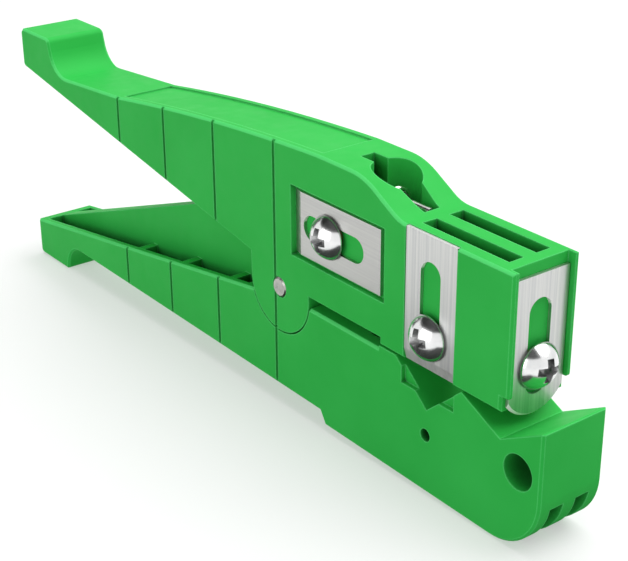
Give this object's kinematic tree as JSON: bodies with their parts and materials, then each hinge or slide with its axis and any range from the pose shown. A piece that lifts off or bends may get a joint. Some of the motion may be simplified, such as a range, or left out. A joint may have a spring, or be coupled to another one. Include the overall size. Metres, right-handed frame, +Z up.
{
  "type": "cable slitter",
  "caption": "Squeeze-to-open plastic cable slitter with sprung jaws, a ring blade, a slitting blade and a parked spare blade.",
  "frame": {"origin": "bottom centre of the whole tool's box, under the handles' and jaws' middle, on the plane the finger pad rests on", "axes": "+X from the handles to the nose, +Z up from the lower half to the upper half, -Y is the side that carries the ring blade and the spare blade"},
  "size_m": [0.1312, 0.014, 0.044],
  "materials": {
    "body_plastic": "bright green moulded plastic, satin",
    "pin_steel": "plain ground steel",
    "blade_steel": "ground blade steel, grain along the blade",
    "screw_plating": "bright nickel plating",
    "insert_brass": "turned brass",
    "spring_steel": "drawn spring wire"
  },
  "bodies": {
    "lower": {"lower_body": "body_plastic", "lower_spring_pin": "pin_steel"},
    "upper": {"upper_body": "body_plastic", "pivot_pin": "pin_steel", "return_spring": "spring_steel", "upper_spring_pin": "pin_steel", "spare_blade": "blade_steel", "ring_blade_screw": "screw_plating", "slitting_blade_screw": "screw_plating", "spare_blade_screw": "screw_plating", "ring_blade_insert": "insert_brass", "slitting_blade_insert": "insert_brass", "spare_blade_insert": "insert_brass"},
    "ring_cutter": {"ring_blade": "blade_steel"},
    "slitting_cutter": {"slitting_blade": "blade_steel"}
  },
  "joints": [
    {"name": "handle_hinge", "type": "hinge", "parent": "lower", "child": "upper", "pos_m": [0.0119, 0.00133, 0.0209], "axis": [0, -1, 0], "range_deg": [0, 21], "stiffness_Nm_per_rad": 0.37, "springref_deg": -28.65, "deforming": ["return_spring"]},
    {"name": "ring_blade_slide", "type": "slide", "parent": "upper", "child": "ring_cutter", "axis": [0, 0, -1], "range_m": [0, 0.003]},
    {"name": "slitting_blade_slide", "type": "slide", "parent": "upper", "child": "slitting_cutter", "axis": [0, 0, -1], "range_m": [-0.0016, 0.0015]}
  ]
}
